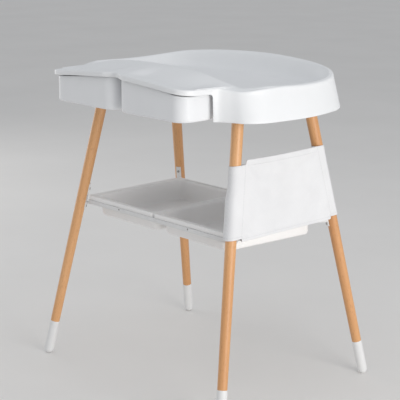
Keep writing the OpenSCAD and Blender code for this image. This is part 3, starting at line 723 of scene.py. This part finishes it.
def build_bin(word, side):
    node = "bin_" + word
    lo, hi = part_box(node)
    near_in, far_in, front_in, back_in = BIN_INSET
    left_in, right_in = (near_in, far_in) if side > 0 else (far_in, near_in)
    floor_z = lo.z + BIN_FALL
    depth = hi.z - floor_z

    def lip_ring(inset, z):
        plan = round_plan((lo.x + inset, lo.y + inset), (hi.x - inset, hi.y - inset), BIN_LIP_R - inset)
        return [(x, y, z) for x, y in plan]

    def body_ring(inset, z):
        fall = (hi.z - z) / depth
        front = lo.y + front_in + BIN_DRAFT * fall ** BIN_BOW + inset
        low = (lo.x + left_in + inset, front)
        high = (hi.x - right_in - inset, hi.y - back_in - inset)
        return [(x, y, z) for x, y in round_plan(low, high, max(BIN_BODY_R - inset, 4 * MM))]

    under = hi.z - BIN_LIP_T
    wall_top = hi.z - 6 * MM
    floor_top = floor_z + BIN_WALL
    rings = [body_ring(inset, floor_z) for inset in FLOOR_RINGS]
    rings += fillet_rings(body_ring, BIN_FILLET, 0, floor_z, arc(0, 90, 6))
    rings += [body_ring(0, mix(floor_z + BIN_FILLET, under, t)) for t in (0.2, 0.4, 0.6, 0.8, 0.96)]
    rings += lip_rings(lip_ring, body_ring, hi.z)
    rings.append(body_ring(BIN_WALL, wall_top))
    rings += [body_ring(BIN_WALL, mix(floor_top + BIN_FILLET_IN, wall_top, t))
              for t in (0.85, 0.65, 0.45, 0.25)]
    rings += fillet_rings(body_ring, BIN_FILLET_IN, BIN_WALL, floor_top, arc(90, 0, 6))
    rings += [body_ring(inset, floor_top) for inset in reversed(FLOOR_RINGS)]
    tray = loft(node + "_tub", rings, 45)
    for v in tray.data.vertices:
        v.co.z -= BIN_FALL * (hi.z - v.co.z) / depth * (v.co.y - lo.y) / (hi.y - lo.y)
    notch_lip(tray, lo, side * NOTCH_X, under)
    finish_piece(tray, node, "bin_plastic", node)


for word, side in SIDES.items():
    build_bin(word, side)


# ---------------------------------------------------------------- hard parts with worked edges
# Painted shade under each bin's finger notch: a small dark disc in the front rail, its radius and its
# depth below the rail's top
NOTCH_SHADE_R, NOTCH_SHADE_DROP = 2.6 * MM, 4.5 * MM


def worked_copy(node, name, width, segments):
    """A copy of a CAD node's mesh, cleaned to its real faces and with softened edges."""
    source = frame["nodes"][node]
    mesh = source.data.copy()
    obj = bpy.data.objects.new(name, mesh)
    scene.collection.objects.link(obj)
    obj.matrix_world = source.matrix_world
    bm = bmesh.new()
    bm.from_mesh(mesh)
    bmesh.ops.remove_doubles(bm, verts=bm.verts, dist=0.00001)
    bmesh.ops.dissolve_limit(bm, angle_limit=math.radians(1.5), verts=bm.verts, edges=bm.edges)
    bm.to_mesh(mesh)
    bm.free()
    bevel(obj, width, segments, 30)
    return obj


def build_shelf_frame():
    for part in ("front", "back", "left", "right", "centre"):
        node = "shelf_rail_" + part
        rail = worked_copy(node, node + "_bar", 1.4 * MM, 3)
        finish_piece(rail, "root", "white_metal", node)
    for word in CORNERS:
        node = "shelf_bracket_" + word
        strap = worked_copy(node, node + "_plate", 0.5 * MM, 2)
        finish_piece(strap, "root", "white_metal", node)


def build_notch_shade_disc(word):
    """Painted shade: a small dark steel disc in the front rail under the middle of a bin's lip, darkening
    the spot where the finger notch above it casts shade.
    """
    rail_lo, rail_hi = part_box("shelf_rail_front")
    bin_lo, bin_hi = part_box("bin_" + word)
    middle = ((bin_lo.x + bin_hi.x) / 2, rail_lo.y, rail_hi.z - NOTCH_SHADE_DROP)
    place = Matrix.Translation(middle) @ Matrix.Rotation(math.radians(90), 4, "X")
    profile = [(NOTCH_SHADE_R, -2 * MM), (NOTCH_SHADE_R, 0.3 * MM), (0.75 * NOTCH_SHADE_R, 0.8 * MM),
               (0.3 * NOTCH_SHADE_R, 1 * MM)]
    # The dark disc of painted shade under the notch
    shade_disc = lathe("notch_shade_disc_" + word, profile, place, 24)
    finish_piece(shade_disc, "root", "fastener_steel")


build_shelf_frame()
for word in SIDES:
    build_notch_shade_disc(word)


# ---------------------------------------------------------------- fabric pocket
POCKET_Z0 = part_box("pocket_outer_panel")[0].z
POCKET_Z1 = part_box("pocket_outer_panel")[1].z
PLANE_TILT = math.atan(LEAN_X)
CLOTH_T = 1.2 * MM
# The sleeves: how much shorter they are than the panel, their radius, and where they are sewn
SLEEVE_RISE, SLEEVE_DROP = 8 * MM, 12 * MM
SLEEVE_R = 17.6 * MM
SEAM_IN, SEAM_BACK = 24 * MM, 2.2 * MM
# Turns round the leg, from straight along the table: where the web from the seam meets the
# sleeve, and the end of the slit that lets the bracket through, which stops at a height
WEB_TURN, SLIT_TURN = math.radians(337), math.radians(292)
SLIT_Z = 548 * MM
WEB_STEPS, ARC_STEPS = 5, 20
# The first column on the flat panel, counted from the seam
WRAP_STEPS = WEB_STEPS + ARC_STEPS + 1
# The bracket pushes the sleeve out by this much, at this turn, between these heights
SWELL, SWELL_TURN, SWELL_POWER = 4.5 * MM, math.radians(235), 4
SWELL_FROM, SWELL_FULL, SWELL_LESS, SWELL_TO = 460 * MM, 520 * MM, 600 * MM, 640 * MM
# Columns beside a leg, in millimetres from its axis, with the seam line and the end of the wrap
BESIDE_LEG = (4, 8, 12, 16, 19, 21.5, 23, 24.5, 26, 29, 33)
SEAM_COLUMN = WRAP_STEPS + BESIDE_LEG.index(21.5)
WRAP_COLUMN = WRAP_STEPS + BESIDE_LEG.index(26)
# Where the cloth steps from the sleeve's height to the panel's, in the same millimetres
STEP_FROM, STEP_LENGTH = 23, 2
# Columns between the two sets beside the legs
PANEL_MIDDLE = 56
HEM, TOP_HEM = 11 * MM, 15 * MM
HEM_ROWS = 4
# The inner panel and the bottom strip
INNER_DROP, INNER_OUT = 22 * MM, -7.2 * MM
INNER_MARGIN, INNER_MARGIN_LOW = 17.2 * MM, 28.5 * MM
BOTTOM_MARGIN, BOTTOM_MARGIN_LEG, BOTTOM_SAG = 34 * MM, 24 * MM, 3.5 * MM
ACROSS_STEPS = 60
OUTER_SLACK, INNER_SLACK = 0.002, 0.004
CLOTH_FRAMES = 45
STITCH, STITCH_STEP, THREAD_R = 3.2 * MM, 4.32 * MM, 0.32 * MM


def in_leg_plane(y, out, z):
    """A point beside the plane of the two right legs: along the table, outwards, and height."""
    return Vector((FOOT_X - LEAN_X * z + out * math.cos(PLANE_TILT), MID_Y + y,
                   z + out * math.sin(PLANE_TILT)))


def leg_half(z):
    """Half the distance between the two legs' axes at a height."""
    return FOOT_Y - LEAN_Y * z


def sleeve_swell(z, turn):
    """How far the cloth stands off the leg where the bracket under it pushes it out."""
    rise = smooth_step((SWELL_TO - z) / (SWELL_TO - SWELL_LESS))
    rise *= smooth_step((z - SWELL_FROM) / (SWELL_FULL - SWELL_FROM))
    return SWELL * rise * max(0.0, math.cos(turn - SWELL_TURN)) ** SWELL_POWER


def sleeve_path(z):
    """Round one sleeve from its seam to the outer face: along from the leg's axis, and outwards."""
    seam = (SEAM_IN, SLEEVE_R - SEAM_BACK)
    start = (SLEEVE_R * math.cos(WEB_TURN), SLEEVE_R * math.sin(WEB_TURN))
    path = [(mix(seam[0], start[0], t), mix(seam[1], start[1], t))
            for t in np.linspace(0, 1, WEB_STEPS + 1)[:-1]]
    for turn in np.linspace(WEB_TURN, math.pi / 2, ARC_STEPS + 1):
        r = SLEEVE_R + sleeve_swell(z, turn)
        path.append((r * math.cos(turn), r * math.sin(turn)))
    return path


def sleeve_columns(sleeve_z, panel_z):
    """One row of the outer cloth round the front leg, from the seam behind to the panel."""
    edge = leg_half(sleeve_z)
    row = [(-edge + a, b, sleeve_z) for a, b in sleeve_path(sleeve_z)]
    for d in BESIDE_LEG:
        z = mix(sleeve_z, panel_z, smooth_step((d - STEP_FROM) / STEP_LENGTH))
        row.append((-leg_half(z) + d * MM, SLEEVE_R, z))
    return row


def outer_row(f):
    """One row of the outer cloth, a share f of the way from its hem to its top edge."""
    panel_z = mix(POCKET_Z0, POCKET_Z1, f)
    front = sleeve_columns(mix(POCKET_Z0 + SLEEVE_RISE, POCKET_Z1 - SLEEVE_DROP, f), panel_z)
    back = sleeve_columns(mix(POCKET_Z0 + SLEEVE_RISE, POCKET_Z1, f), panel_z)
    reach = leg_half(panel_z) - BESIDE_LEG[-1] * MM
    inside = np.linspace(-reach, reach, PANEL_MIDDLE + 2)[1:-1]
    middle = [(y, SLEEVE_R, panel_z) for y in inside]
    return front + middle + [(-y, out, z) for y, out, z in reversed(back)]


def outer_rows():
    """The share of the height at which each row lies, closer together in the hems."""
    height = POCKET_Z1 - POCKET_Z0
    marks = [0, 0.35 * HEM, 0.7 * HEM, HEM, HEM + 1 * MM]
    marks += list(np.linspace(HEM + 6 * MM, height - TOP_HEM - 6 * MM, 30))
    marks += [height - TOP_HEM - 1 * MM, height - TOP_HEM]
    marks += [height - 0.5 * TOP_HEM, height - 2 * MM, height]
    return [m / height for m in marks]


def grid_faces(columns, rows, keep):
    """The faces of a grid of points, without those that keep leaves out."""
    faces = []
    for j in range(rows - 1):
        for i in range(columns - 1):
            if keep(i, j):
                a = j * columns + i
                faces.append((a, a + 1, a + columns + 1, a + columns))
    return faces


def cloth_object(name, grid, keep, pins):
    """A single-layer grid of cloth with a pinning weight at each point."""
    rows, columns = len(grid), len(grid[0])
    verts = [in_leg_plane(*p) for row in grid for p in row]
    obj = make_object(name, verts, grid_faces(columns, rows, keep), 180)
    group = obj.vertex_groups.new(name="pins")
    for j in range(rows):
        for i in range(columns):
            if pins(i, j) > 0:
                group.add([j * columns + i], pins(i, j), "REPLACE")
    return obj


def add_cloth(obj, slack):
    """A stiff canvas, a little larger than its frame by the slack."""
    mod = obj.modifiers.new("cloth", "CLOTH")
    cloth = mod.settings
    cloth.quality = 6
    cloth.mass = 0.25
    cloth.tension_stiffness = 60
    cloth.compression_stiffness = 20
    cloth.shear_stiffness = 12
    cloth.bending_stiffness = 3.0
    cloth.tension_damping = 12
    cloth.compression_damping = 12
    cloth.shear_damping = 8
    cloth.air_damping = 3
    cloth.vertex_group_mass = "pins"
    cloth.pin_stiffness = 1
    cloth.shrink_min = -slack
    mod.point_cache.frame_start = 1
    mod.point_cache.frame_end = CLOTH_FRAMES


def settle(objs):
    """Lets the cloths hang for a while, then keeps their shapes."""
    for frame_no in range(1, CLOTH_FRAMES + 1):
        scene.frame_set(frame_no)
    for obj in objs:
        apply_modifiers(obj)
    scene.frame_set(1)


def thicken(obj, is_folded):
    """Gives the cloth its thickness, double where it is folded over and sewn."""
    group = obj.vertex_groups.new(name="folded")
    for v in obj.data.vertices:
        group.add([v.index], float(is_folded(v.index)), "REPLACE")
    mod = obj.modifiers.new("thickness", "SOLIDIFY")
    mod.thickness = 2 * CLOTH_T
    mod.offset = 0
    mod.vertex_group = "folded"
    mod.thickness_vertex_group = 0.5
    apply_modifiers(obj)
    face_out(obj)
    round_off = obj.modifiers.new("round_off", "SUBSURF")
    round_off.levels = 1
    round_off.render_levels = 1
    apply_modifiers(obj)
    shade_smooth(obj.data)


def stitch_run(points):
    """Stitches along a line of points: both ends of each, and its outward direction."""
    stitches = []
    lengths = np.cumsum([0] + [(b[0] - a[0]).length for a, b in zip(points, points[1:])])

    def at(s):
        k = min(max(int(np.searchsorted(lengths, s)) - 1, 0), len(points) - 2)
        f = (s - lengths[k]) / max(lengths[k + 1] - lengths[k], 1e-9)
        (here, out), (ahead, out_ahead) = points[k], points[k + 1]
        return here.lerp(ahead, f), out.lerp(out_ahead, f).normalized()

    s = 2 * MM
    while s < lengths[-1] - 4 * MM:
        start, out = at(s)
        end, _ = at(s + STITCH)
        stitches.append((start, end, out))
        s += STITCH_STEP
    return stitches


def add_stitch(bm, start, end, out):
    """A short thread that comes out of the cloth, lies on it and goes back in."""
    side = (end - start).cross(out).normalized()
    rings = []
    for t, r, rise in ((0, 0.35, -0.6), (0.15, 0.9, 0.5), (0.5, 1, 1), (0.85, 0.9, 0.5), (1, 0.35, -0.6)):
        mid = start.lerp(end, t) + out * (CLOTH_T + rise * THREAD_R)
        rings.append([bm.verts.new(mid + (side * math.cos(w) + out * math.sin(w)) * r * THREAD_R)
                      for w in np.radians(range(0, 360, 60))])
    n = len(rings[0])
    for low, high in zip(rings, rings[1:]):
        for i in range(n):
            bm.faces.new((low[i], low[(i + 1) % n], high[(i + 1) % n], high[i]))
    bm.faces.new(list(reversed(rings[0])))
    bm.faces.new(rings[-1])


def build_stitches(name, stitches):
    bm = bmesh.new()
    for stitch in stitches:
        add_stitch(bm, *stitch)
    mesh = bpy.data.meshes.new(name)
    bm.to_mesh(mesh)
    bm.free()
    shade_smooth(mesh)
    obj = bpy.data.objects.new(name, mesh)
    scene.collection.objects.link(obj)
    face_out(obj)
    return obj


def build_outer_cloth(shares):
    grid = [outer_row(f) for f in shares]
    columns = len(grid[0])
    turns = np.linspace(WEB_TURN, math.pi / 2, ARC_STEPS + 1)
    slit_end = WEB_STEPS + int(np.searchsorted(-turns, -SLIT_TURN))

    def keep(i, j):
        nearest = min(i, columns - 2 - i)
        return nearest >= slit_end or grid[j][0][2] > SLIT_Z

    def pins(i, j):
        inside = min(i, columns - 1 - i) - WRAP_COLUMN
        if inside <= 0:
            return 1.0
        side_hold = max(0.0, 1 - inside / 4)
        hem_hold = 0.35 if j == 0 else 0.15 if j < HEM_ROWS else 0.0
        top_hold = 0.3 if j > len(shares) - HEM_ROWS - 1 else 0.0
        return max(side_hold, hem_hold, top_hold)

    cloth = cloth_object("pocket_outer_cloth", grid, keep, pins)
    add_cloth(cloth, OUTER_SLACK)
    return cloth, columns


def inner_row(f):
    z = mix(POCKET_Z0, POCKET_Z1 - INNER_DROP, f)
    above_slit = smooth_step((z - SLIT_Z) / (4 * MM))
    reach = leg_half(z) - mix(INNER_MARGIN_LOW, INNER_MARGIN, above_slit)
    return [(y, INNER_OUT, z) for y in np.linspace(-reach, reach, ACROSS_STEPS)]


def build_inner_cloth():
    """The inner cloth, and how many rows it has."""
    shares = [0, 0.03, 0.06, 0.065] + list(np.linspace(0.1, 0.9, 26)) + [0.93, 0.935, 0.97, 1]
    grid = [inner_row(f) for f in shares]

    def pins(i, j):
        nearest = min(i, ACROSS_STEPS - 1 - i)
        return 1.0 if nearest == 0 or j == 0 else max(0.0, 0.5 - nearest / 5)

    cloth = cloth_object("pocket_inner_cloth", grid, lambda i, j: True, pins)
    add_cloth(cloth, INNER_SLACK)
    return cloth, len(shares)


def bottom_row(f):
    out = mix(INNER_OUT, SLEEVE_R - 1.4 * MM, f)
    beside_leg = smooth_step((f - 0.6) / 0.3)
    reach = leg_half(POCKET_Z0) - mix(BOTTOM_MARGIN, BOTTOM_MARGIN_LEG, beside_leg)
    sag = BOTTOM_SAG * math.sin(math.pi * f)
    return [(y, out, POCKET_Z0 + CLOTH_T - sag * (1 - (y / reach) ** 4))
            for y in np.linspace(-reach, reach, ACROSS_STEPS)]


def build_bottom_cloth():
    """The narrow strip that joins the two panels at the foot of the pocket, sagging a little."""
    grid = [bottom_row(f) for f in np.linspace(0, 1, 9)]
    return cloth_object("pocket_bottom_cloth", grid, lambda i, j: True, lambda i, j: 0)


def surface_line(points, columns, picks):
    """Chosen points of a settled grid with the outward direction at each."""
    line = []
    top = len(points) // columns - 1
    for i, j in picks:
        here = points[j * columns + i]
        side = points[j * columns + min(i + 1, columns - 1)] - points[j * columns + max(i - 1, 0)]
        up = points[min(j + 1, top) * columns + i] - points[max(j - 1, 0) * columns + i]
        line.append((here, side.cross(up).normalized()))
    return line


def sew_outer_cloth(outer, columns, rows):
    """The lines of stitches on the hem, the top hem and the seam beside each sleeve."""
    points = [v.co.copy() for v in outer.data.vertices]
    round_sleeves = WEB_STEPS + ARC_STEPS // 2
    panel = SEAM_COLUMN + 3
    picks = [[(i, 2) for i in range(round_sleeves, columns - round_sleeves)],
             [(i, rows - HEM_ROWS) for i in range(panel, columns - panel)],
             [(SEAM_COLUMN, j) for j in range(rows)],
             [(columns - 1 - SEAM_COLUMN, j) for j in range(rows)]]
    lines = [surface_line(points, columns, pick) for pick in picks]
    return build_stitches("pocket_stitches", [s for line in lines for s in stitch_run(line)])


def outer_fold(index, columns, rows):
    """Whether a point of the outer cloth is in a hem or beside a sleeve's seam."""
    j, i = divmod(index, columns)
    in_hem = j < HEM_ROWS or j >= rows - HEM_ROWS
    return in_hem or abs(min(i, columns - 1 - i) - SEAM_COLUMN) <= 2


def inner_fold(index, rows):
    j = index // ACROSS_STEPS
    return j < 3 or j >= rows - 3


def build_pocket():
    shares = outer_rows()
    rows = len(shares)
    outer, columns = build_outer_cloth(shares)
    inner, inner_rows = build_inner_cloth()
    bottom = build_bottom_cloth()
    settle([outer, inner])
    thread = sew_outer_cloth(outer, columns, rows)
    thicken(outer, lambda index: outer_fold(index, columns, rows))
    thicken(inner, lambda index: inner_fold(index, inner_rows))
    thicken(bottom, lambda index: False)
    finish_piece(outer, "root", "pocket_fabric",
                 "pocket_outer_panel", "pocket_sleeve_front", "pocket_sleeve_back")
    finish_piece(inner, "root", "pocket_fabric", "pocket_inner_panel")
    finish_piece(bottom, "root", "pocket_fabric", "pocket_bottom")
    finish_piece(thread, "root", "pocket_fabric", finish="thread")


build_pocket()


# ---------------------------------------------------------------- CAD nodes that stay
def dress_cad_nodes():
    """Gives the CAD nodes that show the material of their slot."""
    slots = {s["node"]: s["material_slot"] for s in frame["record"]["subparts"]}
    for name, obj in frame["nodes"].items():
        obj.data.materials.clear()
        obj.data.materials.append(MATERIALS[slots[name]])


dress_cad_nodes()


# ---------------------------------------------------------------- camera, floor and light
CAMERA_PLACE = (2.5105, -2.3437, 1.3603)
# Radians: left of straight back, downwards, and round the line of sight
CAMERA_YAW, CAMERA_PITCH, CAMERA_ROLL = 0.8188, 0.2405, 0.0039
CAMERA_SENSOR, CAMERA_LENS = 36, 106.902
FLOOR_RADIUS = 45


def build_camera():
    data = bpy.data.cameras.new("camera")
    data.sensor_width = CAMERA_SENSOR
    data.lens = CAMERA_LENS
    cam = bpy.data.objects.new("camera", data)
    scene.collection.objects.link(cam)
    flat = math.cos(CAMERA_PITCH)
    ahead = Vector((-math.sin(CAMERA_YAW) * flat, math.cos(CAMERA_YAW) * flat, -math.sin(CAMERA_PITCH)))
    turn = ahead.to_track_quat("-Z", "Y").to_matrix().to_4x4()
    cam.matrix_world = Matrix.Translation(CAMERA_PLACE) @ turn @ Matrix.Rotation(CAMERA_ROLL, 4, "Z")
    scene.camera = cam


def build_floor():
    mat, nodes, links, shader = new_material("studio_floor")
    coord = nodes.new("ShaderNodeTexCoord").outputs["Object"]
    tone = add_noise(nodes, links, coord, 1.5, 3)
    links.new(add_ramp(nodes, links, tone, [(0.3, (0.83, 0.815, 0.795)), (0.7, (0.86, 0.845, 0.825))]),
              shader.inputs["Base Color"])
    shader.inputs["Roughness"].default_value = 0.8
    bm = bmesh.new()
    bmesh.ops.create_circle(bm, cap_ends=True, radius=FLOOR_RADIUS, segments=96)
    mesh = bpy.data.meshes.new("studio_floor")
    bm.to_mesh(mesh)
    bm.free()
    floor = bpy.data.objects.new("studio_floor", mesh)
    floor.data.materials.append(mat)
    scene.collection.objects.link(floor)


def area_light(name, place, aim, size, power, colour):
    """A rectangular light at a place in metres, aimed at a point, of a power in watts."""
    data = bpy.data.lights.new(name, "AREA")
    data.shape = "RECTANGLE"
    data.size, data.size_y = size
    data.energy = power
    data.color = colour
    light = bpy.data.objects.new(name, data)
    scene.collection.objects.link(light)
    light.location = place
    light.rotation_euler = (Vector(aim) - Vector(place)).to_track_quat("-Z", "Y").to_euler()


def build_lights():
    area_light("window", (4.2, -0.4, 1.15), (0, 0, 0.6), (2.4, 2.0), 86, (1.0, 0.985, 0.965))
    area_light("ceiling", (0, -0.4, 3.6), (0, 0, 0.5), (3.6, 3.6), 16, (0.97, 0.98, 1.0))
    area_light("side_fill", (-3.8, -0.6, 1.0), (0, 0, 0.5), (2.6, 1.6), 26, (1.0, 0.985, 0.96))
    world = bpy.data.worlds.new("studio")
    world.use_nodes = True
    sky = world.node_tree.nodes["Background"]
    sky.inputs["Color"].default_value = (0.85, 0.87, 0.9, 1)
    sky.inputs["Strength"].default_value = 0.585
    scene.world = world


scene.view_settings.view_transform = "Standard"
build_camera()
build_floor()
build_lights()
